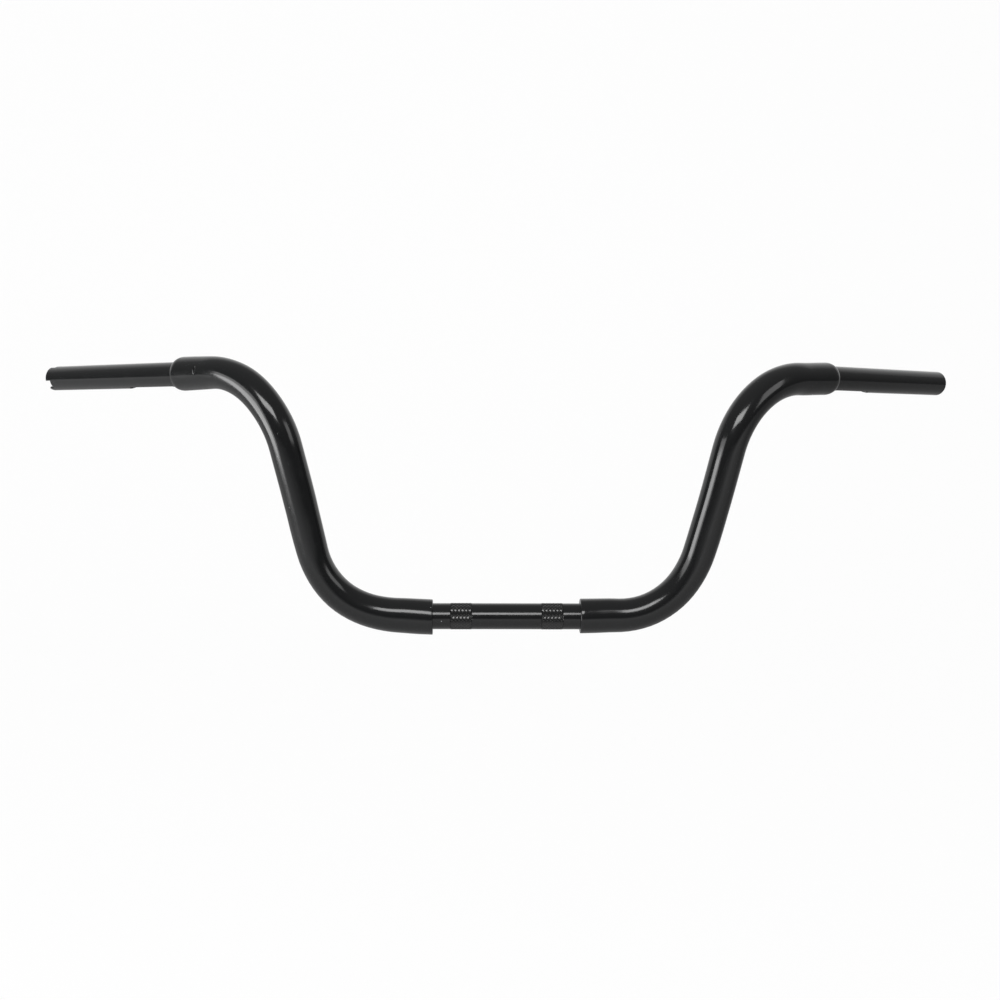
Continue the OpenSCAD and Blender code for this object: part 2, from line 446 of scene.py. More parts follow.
def drawn_at(shape, distance):
    """The width and the lift at a distance along the tube, on a smooth line, in metres."""
    distance /= MM
    last = len(shape) - 1
    i = next((i for i in range(last) if distance <= shape[i + 1][0]), last - 1)
    before, low, high, after = (shape[max(i - 1, 0)], shape[i], shape[i + 1],
                                shape[min(i + 2, last)])
    run = high[0] - low[0]
    t = min(max((distance - low[0]) / run, 0.0), 1.0)
    values = []
    for k in (1, 2):
        slope_in = (high[k] - before[k]) / (high[0] - before[0]) * run
        slope_out = (after[k] - low[k]) / (after[0] - low[0]) * run
        values.append((low[k] * (2 * t ** 3 - 3 * t ** 2 + 1) + slope_in * (t ** 3 - 2 * t * t + t)
                       + high[k] * (3 * t * t - 2 * t ** 3) + slope_out * (t ** 3 - t * t)) * MM)
    return values


def sleeve_profile(fat):
    """The (distance, radius) points of the swollen sleeve, after its first ring."""
    plain, swell, bevel = fat.diameter / 2, fat.sleeve_width / 2, fat.sleeve_bevel
    turns = [math.pi / 2 * i / BEVEL_STEPS for i in range(1, BEVEL_STEPS + 1)]
    profile = [(bevel * (1 - math.cos(t)), swell - bevel * (1 - math.sin(t))) for t in turns]
    for share in SLEEVE_SHARES:
        distance = bevel + share * (fat.lower_straight - bevel)
        profile.append((distance, plain + (swell - plain) * (1 - share) ** SWELL_CURVE))
    return profile


def shoulder_profile(fat):
    """The (distance, radius) points of the swollen end and its round shoulder."""
    plain, swell = fat.diameter / 2, fat.shoulder_width / 2
    dome_start = fat.upper_straight - fat.shoulder_length
    profile = [(mark * MM, plain + (swell - plain) * (mark * MM / dome_start) ** SWELL_CURVE)
               for mark in SHOULDER_MARKS]
    lip = fat.bore / 2 + fat.shoulder_step
    for i in range(DOME_STEPS + 1):
        turn = math.pi / 2 * i / DOME_STEPS
        profile.append((dome_start + fat.shoulder_length * math.sin(turn),
                        lip + (swell - lip) * math.cos(turn)))
    return profile


def run_fat_tube(route, fat, outer):
    """Pulls and spins the selected ring from the inner to the outer end of the fat tube."""
    if outer:
        turn_out(ACROSS, route.start, sleeve_profile(fat),
                 fat.sleeve_width / 2 - fat.sleeve_bevel)
    else:
        pull(ACROSS * fat.lower_straight)
    spin_bend(route.lower_angle, route.lower_centre, route.lower_axis, LOWER_STEPS)
    for _ in range(RISER_STEPS):
        pull(route.riser_way * fat.riser_length / RISER_STEPS)
    spin_bend(route.upper_angle, route.upper_centre, route.upper_axis, UPPER_STEPS)
    if outer:
        turn_out(route.grip_way, route.upper_end, shoulder_profile(fat), fat.diameter / 2)
    else:
        pull(route.grip_way * fat.upper_straight)


def outer_rings(route, fat):
    """Each ring of the outer skin: distance along the tube, centre, way, axis and width."""
    lower_run = fat.lower_radius * route.lower_angle
    upper_run = fat.upper_radius * route.upper_angle
    rings = [(distance, route.start + ACROSS * distance, ACROSS, route.lower_axis, 2 * radius)
             for distance, radius in
             [(0.0, fat.sleeve_width / 2 - fat.sleeve_bevel)] + sleeve_profile(fat)]
    done = fat.lower_straight
    for i in range(1, LOWER_STEPS + 1):
        turn = Matrix.Rotation(route.lower_angle * i / LOWER_STEPS, 3, route.lower_axis)
        rings.append((done + lower_run * i / LOWER_STEPS,
                      route.lower_centre + turn @ (route.lower_start - route.lower_centre),
                      turn @ ACROSS, route.lower_axis, fat.diameter))
    done += lower_run
    for i in range(1, RISER_STEPS + 1):
        up = fat.riser_length * i / RISER_STEPS
        axis = route.lower_axis if i < RISER_STEPS / 2 else route.upper_axis
        rings.append((done + up, route.lower_end + route.riser_way * up, route.riser_way, axis,
                      fat.diameter))
    done += fat.riser_length
    for i in range(1, UPPER_STEPS + 1):
        turn = Matrix.Rotation(route.upper_angle * i / UPPER_STEPS, 3, route.upper_axis)
        rings.append((done + upper_run * i / UPPER_STEPS,
                      route.upper_centre + turn @ (route.upper_start - route.upper_centre),
                      turn @ route.riser_way, route.upper_axis, fat.diameter))
    done += upper_run
    rings += [(done + distance, route.upper_end + route.grip_way * distance, route.grip_way,
               route.upper_axis, 2 * radius) for distance, radius in shoulder_profile(fat)]
    return rings


def draw_bends(piece, route, fat, shape):
    """Gives each ring the width and the lift that bending and swaging left it."""
    rings = outer_rings(route, fat)
    dome_start = rings[-1][0] - fat.shoulder_length
    for distance, centre, along, axis, plain_width in rings:
        width, lift = drawn_at(shape, distance)
        into_dome = distance - dome_start
        if distance < fat.sleeve_bevel:
            share = drawn_at(shape, 0.0)[0] / fat.sleeve_width
        elif into_dome > 0:
            share = drawn_at(shape, dome_start)[0] / fat.shoulder_width
            lift *= math.sqrt(max(0.0, 1 - (into_dome / fat.shoulder_length) ** 2))
        else:
            share = width / plain_width
        across_bend = axis.cross(along)
        pick(piece, on_ring(centre, along))
        bpy.ops.transform.resize(
            value=(share, 1 + (1 - share) * OVAL_SHARE, 1),
            orient_matrix=Matrix((across_bend, axis, along)).transposed(),
            orient_matrix_type="GLOBAL", center_override=tuple(centre))
        rise = Vector((0, -1, 0)).cross(along).normalized()
        bpy.ops.transform.translate(value=tuple(rise * lift))


def press_nick(piece, route, fat):
    """Presses the short crosswise nick into the shoulder end, in three ever smaller ovals."""
    along, down = route.grip_way, Vector((0, 0, -1))
    across = down.cross(along).normalized()
    up = across.cross(along).normalized()
    middle = route.upper_end + along * fat.nick_place
    face_way = (across * NICK_SIDEWAYS + up * NICK_UP).normalized()
    round_way = along.cross(face_way).normalized()
    spot = middle + face_way * fat.diameter / 2
    for long_half, wide_half, depth in NICK_OVALS:
        def wanted(vertex):
            """Whether a vertex lies in this oval."""
            away = vertex.co - spot
            if away.length > NICK_REACH:
                return False
            u, v = away.dot(round_way) / long_half / MM, away.dot(along) / wide_half / MM
            return u * u + v * v < 1
        pick(piece, wanted)
        bpy.ops.transform.translate(value=tuple(-face_way * fat.nick_depth * depth))


def add_node(tree, kind, settings=None, links=None, name=None):
    """Adds a node, sets its properties and inputs, and links sockets of other nodes in."""
    node = tree.nodes.new(kind)
    if name:
        node.name = node.label = name
    for key, value in (settings or {}).items():
        if isinstance(key, str) and hasattr(node, key):
            setattr(node, key, value)
        else:
            node.inputs[key].default_value = value
    for key, source in (links or {}).items():
        tree.links.new(source, node.inputs[key])
    return node


def new_finish(name):
    """An empty node material and its output node."""
    material = bpy.data.materials.new(name)
    material.use_nodes = True
    material.node_tree.nodes.clear()
    output = add_node(material.node_tree, "ShaderNodeOutputMaterial")
    return material, material.node_tree, output


def gloss_black_enamel():
    """Stoved gloss black enamel on steel tube.

    To the eye it is a deep black skin with a wet shine, a faint orange peel about 1.6 mm
    across and a few specks of white dust, under half a millimetre wide.
    """
    colours = sizes("finish_colours")
    material, tree, output = new_finish("gloss_black_enamel")
    place = add_node(tree, "ShaderNodeTexCoord")
    peel = add_node(tree, "ShaderNodeTexNoise",
                    {"Scale": 1 / (1.6 * MM), "Detail": 1.5, "Roughness": 0.4},
                    {"Vector": place.outputs["Object"]}, "orange_peel")
    flow = add_node(tree, "ShaderNodeTexNoise",
                    {"Scale": 1 / (14 * MM), "Detail": 2.0},
                    {"Vector": place.outputs["Object"]}, "flow_of_the_coat")
    cells = add_node(tree, "ShaderNodeTexVoronoi",
                     {"Scale": 1 / (9 * MM), "Randomness": 1.0},
                     {"Vector": place.outputs["Object"]}, "dust_cells")
    chosen = add_node(tree, "ShaderNodeSeparateColor", links={"Color": cells.outputs["Color"]})
    spot = add_node(tree, "ShaderNodeSeparateXYZ", links={"Vector": place.outputs["Object"]})
    rarer = add_node(tree, "ShaderNodeMapRange",
                     {"From Min": -0.1, "From Max": 0.1, "To Min": 0.7, "To Max": 0.94},
                     {"Value": spot.outputs["X"]}, "less_dust_to_the_riders_left")
    few = add_node(tree, "ShaderNodeMath", {"operation": "GREATER_THAN"},
                   {0: chosen.outputs["Red"], 1: rarer.outputs["Result"]},
                   "few_cells_hold_dust")
    near = add_node(tree, "ShaderNodeMapRange",
                    {"From Min": 0.035, "From Max": 0.055, "To Min": 1.0, "To Max": 0.0},
                    {"Value": cells.outputs["Distance"]}, "speck_edge")
    speck = add_node(tree, "ShaderNodeMath", {"operation": "MULTIPLY"},
                     {0: few.outputs["Value"], 1: near.outputs["Result"]}, "specks")
    colour = add_node(tree, "ShaderNodeMix",
                      {"data_type": "RGBA", 6: (*colours.enamel, 1), 7: (*colours.dust, 1)},
                      {0: speck.outputs["Value"]}, "enamel_and_dust")
    sheen = add_node(tree, "ShaderNodeMapRange",
                     {"From Min": 0.3, "From Max": 0.7, "To Min": 0.11, "To Max": 0.17},
                     {"Value": flow.outputs["Fac"]}, "uneven_gloss")
    bump = add_node(tree, "ShaderNodeBump", {"Strength": 0.25, "Distance": 0.02 * MM},
                    {"Height": peel.outputs["Fac"]}, "peel_bump")
    skin = add_node(tree, "ShaderNodeBsdfPrincipled", {"Metallic": 0.0, "IOR": 1.45},
                    {"Base Color": colour.outputs[2], "Roughness": sheen.outputs["Result"],
                     "Normal": bump.outputs["Normal"]})
    tree.links.new(skin.outputs["BSDF"], output.inputs["Surface"])
    return material


def worn_knurl_enamel():
    """Gloss black enamel that is rubbed through to bright steel on the tips of the knurling.

    To the eye it is the same black, with a hard little glint on each diamond that faces the
    light.
    """
    colours, thin, clamp = sizes("finish_colours"), sizes("thin_tube"), sizes("clamp_tube")
    tip = thin.diameter / 2 + clamp.knurl_raise + clamp.knurl_relief
    material, tree, output = new_finish("worn_knurl_enamel")
    place = add_node(tree, "ShaderNodeTexCoord")
    off_axis = add_node(tree, "ShaderNodeVectorMath", {"operation": "MULTIPLY", 1: (0, 1, 1)},
                        {0: place.outputs["Object"]})
    radius = add_node(tree, "ShaderNodeVectorMath", {"operation": "LENGTH"},
                      {0: off_axis.outputs["Vector"]}, "distance_from_the_axis")
    rub = add_node(tree, "ShaderNodeTexNoise", {"Scale": 1 / (5 * MM), "Detail": 2.0},
                   {"Vector": place.outputs["Object"]}, "uneven_rubbing")
    bare_from = add_node(tree, "ShaderNodeMapRange",
                         {"From Min": 0.3, "From Max": 0.7,
                          "To Min": tip - 0.2 * MM, "To Max": tip - 0.1 * MM},
                         {"Value": rub.outputs["Fac"]}, "height_that_is_rubbed")
    over = add_node(tree, "ShaderNodeMath", {"operation": "SUBTRACT"},
                    {0: radius.outputs["Value"], 1: bare_from.outputs["Result"]})
    bare = add_node(tree, "ShaderNodeMapRange", {"From Min": 0.0, "From Max": 0.06 * MM},
                    {"Value": over.outputs["Value"]}, "bare_tips")
    colour = add_node(tree, "ShaderNodeMix",
                      {"data_type": "RGBA", 6: (*colours.enamel, 1), 7: (*colours.steel, 1)},
                      {0: bare.outputs["Result"]}, "enamel_and_tips")
    rough = add_node(tree, "ShaderNodeMapRange", {"To Min": 0.14, "To Max": 0.25},
                     {"Value": bare.outputs["Result"]})
    skin = add_node(tree, "ShaderNodeBsdfPrincipled", {"IOR": 1.45},
                    {"Base Color": colour.outputs[2], "Metallic": bare.outputs["Result"],
                     "Roughness": rough.outputs["Result"]})
    tree.links.new(skin.outputs["BSDF"], output.inputs["Surface"])
    return material


def bare_tube_steel():
    """Cold-drawn steel inside the tubes, with black overspray.

    To the eye it is a dull grey brown bore, streaked along the draw and speckled darker
    where the spray reached in.
    """
    colours = sizes("finish_colours")
    material, tree, output = new_finish("bare_tube_steel")
    place = add_node(tree, "ShaderNodeTexCoord")
    spray = add_node(tree, "ShaderNodeTexNoise",
                     {"Scale": 1 / (2.5 * MM), "Detail": 4.0, "Roughness": 0.7},
                     {"Vector": place.outputs["Object"]}, "overspray")
    cover = add_node(tree, "ShaderNodeMapRange",
                     {"From Min": 0.4, "From Max": 0.62, "To Min": 0.0, "To Max": 1.0},
                     {"Value": spray.outputs["Fac"]}, "overspray_cover")
    colour = add_node(tree, "ShaderNodeMix",
                      {"data_type": "RGBA", 6: (*colours.enamel, 1), 7: (*colours.steel, 1)},
                      {0: cover.outputs["Result"]}, "steel_and_spray")
    metal = add_node(tree, "ShaderNodeMath", {"operation": "MULTIPLY", 1: 0.9},
                     {0: cover.outputs["Result"]}, "bare_share")
    rough = add_node(tree, "ShaderNodeMapRange",
                     {"To Min": 0.4, "To Max": 0.6}, {"Value": spray.outputs["Fac"]})
    skin = add_node(tree, "ShaderNodeBsdfPrincipled", {},
                    {"Base Color": colour.outputs[2], "Metallic": metal.outputs["Value"],
                     "Roughness": rough.outputs["Result"]})
    tree.links.new(skin.outputs["BSDF"], output.inputs["Surface"])
    return material


def shared_finish(name, make):
    """The finish of that name, made the first time that it is asked for."""
    return bpy.data.materials.get(name) or make()


def tube_finishes():
    """The finishes of a plain tube: its enamel and the steel of its bore."""
    return [shared_finish("gloss_black_enamel", gloss_black_enamel),
            shared_finish("bare_tube_steel", bare_tube_steel)]


def paint_bore(piece, start, along, bore_radius):
    """Gives the faces of the bore the bare steel, but not those of the rims."""
    for face in piece.data.polygons:
        away = face.center - start
        depth = away.dot(along)
        off_axis = (away - along * depth).length
        if off_axis < bore_radius + BORE_SLACK and abs(face.normal.dot(along)) < RIM_TILT:
            face.material_index = 1


def paint_knurl(piece, clamp, outer):
    """Gives the faces of both knurled bands the worn enamel."""
    for face in piece.data.polygons:
        centre = face.center
        if (abs(abs(centre.x) - clamp.knurl_spacing / 2) < clamp.knurl_length / 2
                and math.hypot(centre.y, centre.z) > outer - MM):
            face.material_index = 2


class HANDLEBAR_OT_fat_tubes(bpy.types.Operator):
    """Model the two twice-bent fat tubes, with drawn bends, swollen ends and round shoulders"""

    bl_idname = "handlebar.fat_tubes"
    bl_label = "Fat tubes"

    def execute(self, context):
        fat, route = sizes("fat_tube"), FatRoute()
        for node, side, shape in (("clutch_side_riser", 1, DRAWN_SHAPES["clutch"]),
                                  ("throttle_side_riser", -1, DRAWN_SHAPES["throttle"])):
            piece = start_piece("bent_" + node, route.start, ACROSS,
                                fat.sleeve_width / 2 - fat.sleeve_bevel)
            run_fat_tube(route, fat, outer=True)
            draw_bends(piece, route, fat, shape)
            face_out()
            lay_ring(route.start, ACROSS, fat.bore / 2)
            run_fat_tube(route, fat, outer=False)
            close_rims(piece, ((route.start, ACROSS), (route.grip_start, route.grip_way)))
            tidy_surface(piece)
            if side < 0:
                with editing(piece):
                    press_nick(piece, route, fat)
                mirror_piece(piece)
            finish_piece(piece, node, tube_finishes())
        return {"FINISHED"}


def knurl_band(piece, middle, clamp, radius):
    """Adds one band of diamond knurling: a netted cylinder whose diamonds are poked up."""
    band, rows, columns = clamp.knurl_length, clamp.knurl_rows, clamp.knurl_columns
    start = Vector((middle - band / 2, 0, 0))
    bpy.ops.mesh.select_all(action="DESELECT")
    lay_ring(start, ACROSS, radius, columns)
    for _ in range(rows):
        pull(ACROSS * band / rows)
    near = band / 2 + RING_SLACK

    def in_band(point):
        """Whether a point lies on the skin of this band."""
        off_axis = math.hypot(point.y, point.z)
        return abs(point.x - middle) < near and off_axis > radius - KNURL_SKIN

    pick(piece, lambda f: in_band(f.calc_center_median()), "faces")
    bpy.ops.mesh.normals_make_consistent(inside=False)
    flat_drop = radius * (1 - math.cos(math.pi / columns))
    bpy.ops.mesh.poke(offset=flat_drop)
    corner_ring = [start.x + band / rows * i for i in range(rows + 1)]

    def old_edge(edge):
        """Whether an edge is one of the square net that the diamonds are poked from."""
        a, b = (v.co for v in edge.verts)
        if not (in_band(a) and in_band(b)) or edge.is_boundary:
            return False
        on_rows = [any(abs(p.x - x) < RING_SLACK for x in corner_ring) for p in (a, b)]
        return all(on_rows)

    pick(piece, old_edge, "edges")
    bpy.ops.mesh.dissolve_edges(use_verts=False)
    pick(piece, lambda f: len(f.verts) == 4 and in_band(f.calc_center_median())
         and f.calc_area() < DIAMOND_LIMIT, "faces")
    bpy.ops.mesh.poke(offset=clamp.knurl_relief)


def crisp_knurl(piece, clamp, outer):
    """Rounds each diamond of both bands in shade, between crisp grooves and flat lips."""
    reach = clamp.knurl_length / 2

    def off_band(point):
        """How far a point lies outside the nearer band, along the tube."""
        return abs(abs(point.x) - clamp.knurl_spacing / 2) - reach

    def off_axis(point):
        """How far a point lies from the axis."""
        return math.hypot(point.y, point.z)

    groove = outer + clamp.knurl_raise + clamp.knurl_relief / 2
    pick(piece, lambda e: all(off_band(v.co) < RING_SLACK and
                              outer - MM / 2 < off_axis(v.co) < groove for v in e.verts), "edges")
    bpy.ops.mesh.mark_sharp()
    pick(piece, lambda f: 0 < off_band(f.calc_center_median()) < KNURL_LIP_REACH and
         off_axis(f.calc_center_median()) > outer - MM, "faces")
    bpy.ops.mesh.faces_shade_flat()


class HANDLEBAR_OT_clamp_tube(bpy.types.Operator):
    """Model the clamp tube with its two bands of diamond knurling and the wire exit slot"""

    bl_idname = "handlebar.clamp_tube"
    bl_label = "Clamp tube"

    def execute(self, context):
        thin, clamp = sizes("thin_tube"), sizes("clamp_tube")
        outer, seat, bore = thin.diameter / 2, thin.seat_diameter / 2, thin.bore / 2
        bare = clamp.bare_length / 2
        end = bare + clamp.overlap
        band_in = clamp.knurl_spacing / 2 - clamp.knurl_length / 2
        band_out = band_in + clamp.knurl_length
        lip = KNURL_LIP
        piece = start_piece("knurled_clamp_tube", -ACROSS * end, ACROSS, seat - thin.rim_bevel)
        turn_out(ACROSS, -ACROSS * end, [
            (thin.rim_bevel, seat), (clamp.overlap, seat), (clamp.overlap, outer),
            (end - band_out - lip, outer)], seat - thin.rim_bevel)
        bpy.ops.mesh.select_all(action="DESELECT")
        lay_ring(-ACROSS * (band_in - lip), ACROSS, outer)
        turn_out(ACROSS, -ACROSS * (band_in - lip), even_run(2 * (band_in - lip), outer, 6), outer)
        bpy.ops.mesh.select_all(action="DESELECT")
        lay_ring(ACROSS * (band_out + lip), ACROSS, outer)
        turn_out(ACROSS, ACROSS * (band_out + lip), [
            (bare - band_out - lip, outer), (bare - band_out - lip, seat),
            (end - band_out - lip - thin.rim_bevel, seat),
            (end - band_out - lip, seat - thin.rim_bevel)], outer)
        face_out()
        lay_ring(-ACROSS * end, ACROSS, bore)
        turn_out(ACROSS, -ACROSS * end, even_run(2 * end, bore, 10), bore)
        close_rims(piece, ((-ACROSS * end, ACROSS), (ACROSS * end, ACROSS)))
        for side in (-1, 1):
            middle = side * clamp.knurl_spacing / 2
            knurl_band(piece, middle, clamp, outer + clamp.knurl_raise)
            for edge_x in (middle - clamp.knurl_length / 2, middle + clamp.knurl_length / 2):
                pick(piece, lambda e: e.is_boundary and all(
                    abs(v.co.x - edge_x) < lip + RING_SLACK for v in e.verts), "edges")
                bpy.ops.mesh.bridge_edge_loops()
        tidy_surface(piece)
        with editing(piece):
            crisp_knurl(piece, clamp, outer)
        cutter = slot_cutter(-clamp.exit_slot_length / 2, clamp.exit_slot_length,
                             clamp.exit_slot_width, thin.diameter)
        turn = Matrix.Rotation(clamp.exit_slot_turn, 4, "X")
        down = Matrix(((0, 0, 1, 0), (0, 1, 0, 0), (-1, 0, 0, 0), (0, 0, 0, 1)))
        place_piece(cutter, turn @ down)
        cut_away(piece, [cutter])
        paint_bore(piece, Vector(), ACROSS, bore)
        paint_knurl(piece, clamp, outer)
        finish_piece(piece, "clamp_tube", tube_finishes() + [worn_knurl_enamel()])
        return {"FINISHED"}


def notch_cutter(grips, thin, bare_length, turn):
    """A wedge that cuts one notch into the rim of the throttle side grip tube."""
    empty_hands()
    reach = thin.diameter / 2 + MM
    bpy.ops.mesh.primitive_cube_add(size=1, location=(reach / 2, 0, bare_length))
    cutter = bpy.context.object
    cutter.scale = (reach, 2 * reach * math.tan(grips.notch_span / 2), 2 * grips.notch_depth)
    bpy.ops.object.transform_apply(location=True, rotation=True, scale=True)
    with editing(cutter):
        pick(cutter, lambda v: v.co.x < reach / 4)
        bpy.ops.transform.resize(value=(1, WEDGE_POINT, 1), center_override=(0, 0, bare_length))
    place_piece(cutter, Matrix.Rotation(turn, 4, "Z"))
    return cutter


PLAIN_STEPS = 20           # rings along a grip tube
PLAIN_END = 8 * MM         # the stretch at the outer end of a grip tube that has none


class HANDLEBAR_OT_grip_tubes(bpy.types.Operator):
    """Model both grip tubes with their wire slots, and the keyed end on the throttle side"""

    bl_idname = "handlebar.grip_tubes"
    bl_label = "Grip tubes"

    def execute(self, context):
        thin, grips, route = sizes("thin_tube"), sizes("grip_tube"), FatRoute()
        outer, seat, bore = thin.diameter / 2, thin.seat_diameter / 2, thin.bore / 2
        up = Vector((0, 0, 1))
        for node, side, bare_length, slot_length in (
                ("clutch_grip_tube", 1, grips.clutch_length, grips.clutch_slot_length),
                ("throttle_grip_tube", -1, grips.throttle_length, grips.throttle_slot_length)):
            start = -up * grips.overlap
            piece = start_piece("turned_" + node, start, up, seat - thin.rim_bevel)
            whole = grips.overlap + bare_length
            seat_end = [(thin.rim_bevel, seat), (grips.overlap, seat), (grips.overlap, outer)]
            plain = even_run(bare_length - PLAIN_END, outer, PLAIN_STEPS, grips.overlap)
            rim = [(whole - thin.rim_bevel, outer), (whole, outer - thin.rim_bevel)]
            turn_out(up, start, seat_end + plain + rim, seat - thin.rim_bevel)
            face_out()
            lay_ring(start, up, bore)
            turn_out(up, start, even_run(whole, bore, PLAIN_STEPS), bore)
            close_rims(piece, ((start, up), (up * bare_length, up)))
            tidy_surface(piece)
            cutters = [slot_cutter(grips.slot_offset, slot_length, grips.slot_width,
                                   thin.diameter)]
            if side < 0:
                cutters += [notch_cutter(grips, thin, bare_length,
                                         grips.notch_turn + i * math.tau / grips.notch_count)
                            for i in range(grips.notch_count)]
            cut_away(piece, cutters)
            weld_slivers(piece)
            paint_bore(piece, start, up, bore)
            place_piece(piece, route.grip_frame())
            if side < 0:
                mirror_piece(piece)
            hold(piece)
            bpy.ops.object.shade_smooth_by_angle(angle=math.radians(CREASE))
            finish_piece(piece, node, tube_finishes())
        return {"FINISHED"}


# The paper sweep in metres, and the light painted into it for the gloss of the bar: a painted pool
# of light along the floor by the distance away from the light at the left front, and a painted
# falloff up the backdrop by the height over the floor
SWEEP_SIZE = 12.0
SWEEP_RADIUS, SWEEP_STEPS = 0.8, 24
BACKDROP_HEIGHT = 4.0
UPRIGHT_FROM = 0.001       # share of the backdrop's height from which the paper counts as upright
EMITTED_SHARE = 0.95           # share of the paper's look that glows: white to the camera, painted light to gloss and glass rays
PAPER_REACH = 5.0
AWAY_FROM_THE_LIGHT = (0.5, 1.0, 0.0)
PAINTED_FLOOR_LIGHT_GAIN = 1.2
PAINTED_FLOOR_LIGHT_LEVELS = ((-5.0, 0.35), (-3.0, 0.75), (-2.2, 0.95), (-1.4, 0.8), (-0.6, 0.68),
                (0.1, 0.55), (1.0, 0.3), (2.5, 0.35))
PAINTED_BACKDROP_LIGHT_LEVELS = ((0.0, 0.55), (0.5, 0.75), (1.2, 1.0), (2.4, 0.9), (4.0, 0.5))


def set_ramp(node, stops):
    """Sets the grey stops of a colour ramp."""
    ramp = node.color_ramp
    while len(ramp.elements) < len(stops):
        ramp.elements.new(1.0)
    for element, (place, level) in zip(ramp.elements, stops):
        element.position = place
        element.color = (level, level, level, 1)


def studio_paper():
    """White studio paper that keeps the bar's shadow.

    To the eye it is an even white. Camera rays see mostly its glowing white, gloss and glass rays
    mostly painted light, a pool on the floor and a falloff up the backdrop, and the rest of it
    takes the light and the shadow.
    """
    studio = sizes("studio")
    material, tree, output = new_finish("studio_paper")
    rays = add_node(tree, "ShaderNodeLightPath")
    seen = add_node(tree, "ShaderNodeMath", {"operation": "MAXIMUM"},
                    {0: rays.outputs["Is Camera Ray"], 1: rays.outputs["Is Glossy Ray"]})
    seen_too = add_node(tree, "ShaderNodeMath", {"operation": "MAXIMUM"},
                        {0: seen.outputs["Value"], 1: rays.outputs["Is Transmission Ray"]})
    share = add_node(tree, "ShaderNodeMath", {"operation": "MULTIPLY", 1: EMITTED_SHARE},
                     {0: seen_too.outputs["Value"]})
    paper = add_node(tree, "ShaderNodeBsdfDiffuse", {"Color": (*studio.paper, 1)})
    place = add_node(tree, "ShaderNodeTexCoord")
    spot = add_node(tree, "ShaderNodeSeparateXYZ", links={"Vector": place.outputs["Object"]})
    away = add_node(tree, "ShaderNodeVectorMath",
                    {"operation": "DOT_PRODUCT", 1: AWAY_FROM_THE_LIGHT},
                    {0: place.outputs["Object"]}, "away_from_the_light")
    depth = add_node(tree, "ShaderNodeMapRange",
                     {"From Min": -PAPER_REACH, "From Max": PAPER_REACH},
                     {"Value": away.outputs["Value"]}, "depth_of_the_floor")
    # A pool of light painted into the paper's glow, brightest near the light at the left front
    painted_pool = add_node(tree, "ShaderNodeValToRGB", name="light_pool_on_the_floor",
                    links={"Fac": depth.outputs["Result"]})
    set_ramp(painted_pool, [((y + PAPER_REACH) / (2 * PAPER_REACH), level) for y, level in PAINTED_FLOOR_LIGHT_LEVELS])
    rise = add_node(tree, "ShaderNodeMapRange",
                    {"From Min": -studio.floor_drop,
                     "From Max": BACKDROP_HEIGHT - studio.floor_drop},
                    {"Value": spot.outputs["Z"]}, "height_up_the_backdrop")
    # Light painted into the paper's glow, fading up the backdrop
    painted_falloff = add_node(tree, "ShaderNodeValToRGB", name="falloff_up_the_backdrop",
                     links={"Fac": rise.outputs["Result"]})
    set_ramp(painted_falloff, [(z / BACKDROP_HEIGHT, level) for z, level in PAINTED_BACKDROP_LIGHT_LEVELS])
    upright = add_node(tree, "ShaderNodeMath", {"operation": "GREATER_THAN", 1: UPRIGHT_FROM},
                       {0: rise.outputs["Result"]})
    # The painted light on the floor, raised by its gain
    painted_floor_light = add_node(tree, "ShaderNodeMath", {"operation": "MULTIPLY", 1: PAINTED_FLOOR_LIGHT_GAIN},
                   {0: painted_pool.outputs["Color"]}, "level_of_the_floor")
    # The painted light of the paper: the floor's painted pool, or the backdrop's painted falloff
    level = add_node(tree, "ShaderNodeMix", {"data_type": "FLOAT"},
                     {0: upright.outputs["Value"], 2: painted_floor_light.outputs["Value"],
                      3: painted_falloff.outputs["Color"]}, "level_of_the_paper")
    # The glow: at least white for camera rays, the painted light for gloss and glass rays
    shown = add_node(tree, "ShaderNodeMath", {"operation": "MAXIMUM"},
                     {0: level.outputs[0], 1: rays.outputs["Is Camera Ray"]})
    white = add_node(tree, "ShaderNodeEmission", {"Color": (1, 1, 1, 1)},
                     {"Strength": shown.outputs["Value"]})
    both = add_node(tree, "ShaderNodeMixShader", {},
                    {0: share.outputs["Value"], 1: paper.outputs["BSDF"],
                     2: white.outputs["Emission"]})
    tree.links.new(both.outputs["Shader"], output.inputs["Surface"])
    return material


# Each softbox: azimuth from the camera side to the rider's left, height angle, distance in
# metres, width and height in metres, and how bright it looks
SOFTBOXES = {
    "key_softbox": (-10.5, 39.0, 2.2, 1.22, 0.64, 9.5),
    "throttle_side_softbox": (-68.0, -2.0, 2.2, 1.0, 1.0, 6.0),
    "throttle_side_spill": (-64.0, 2.0, 2.25, 1.35, 1.6, 3.2),
    "clutch_side_softbox": (60.0, 26.0, 2.2, 0.9, 0.9, 2.4),
}


ROOM_SLOPE = (-0.03, 0.0, 0.25)     # darker to the rider's left, brighter overhead

# The camera looks slightly down on the clamp tube from in front of the bar
CAMERA_PLACE = (-0.044882, -1.358864, 0.398287)
CAMERA_RIGHT = Vector((0.999627, -0.025668, 0.009275))
CAMERA_UP = Vector((-0.003863, 0.203350, 0.979099))
SENSOR_WIDTH = 36.0                 # in mm
FOCAL_RATIO = 1.4423                # focal length over sensor width
CAMERA_CLIP = 50                    # in metres


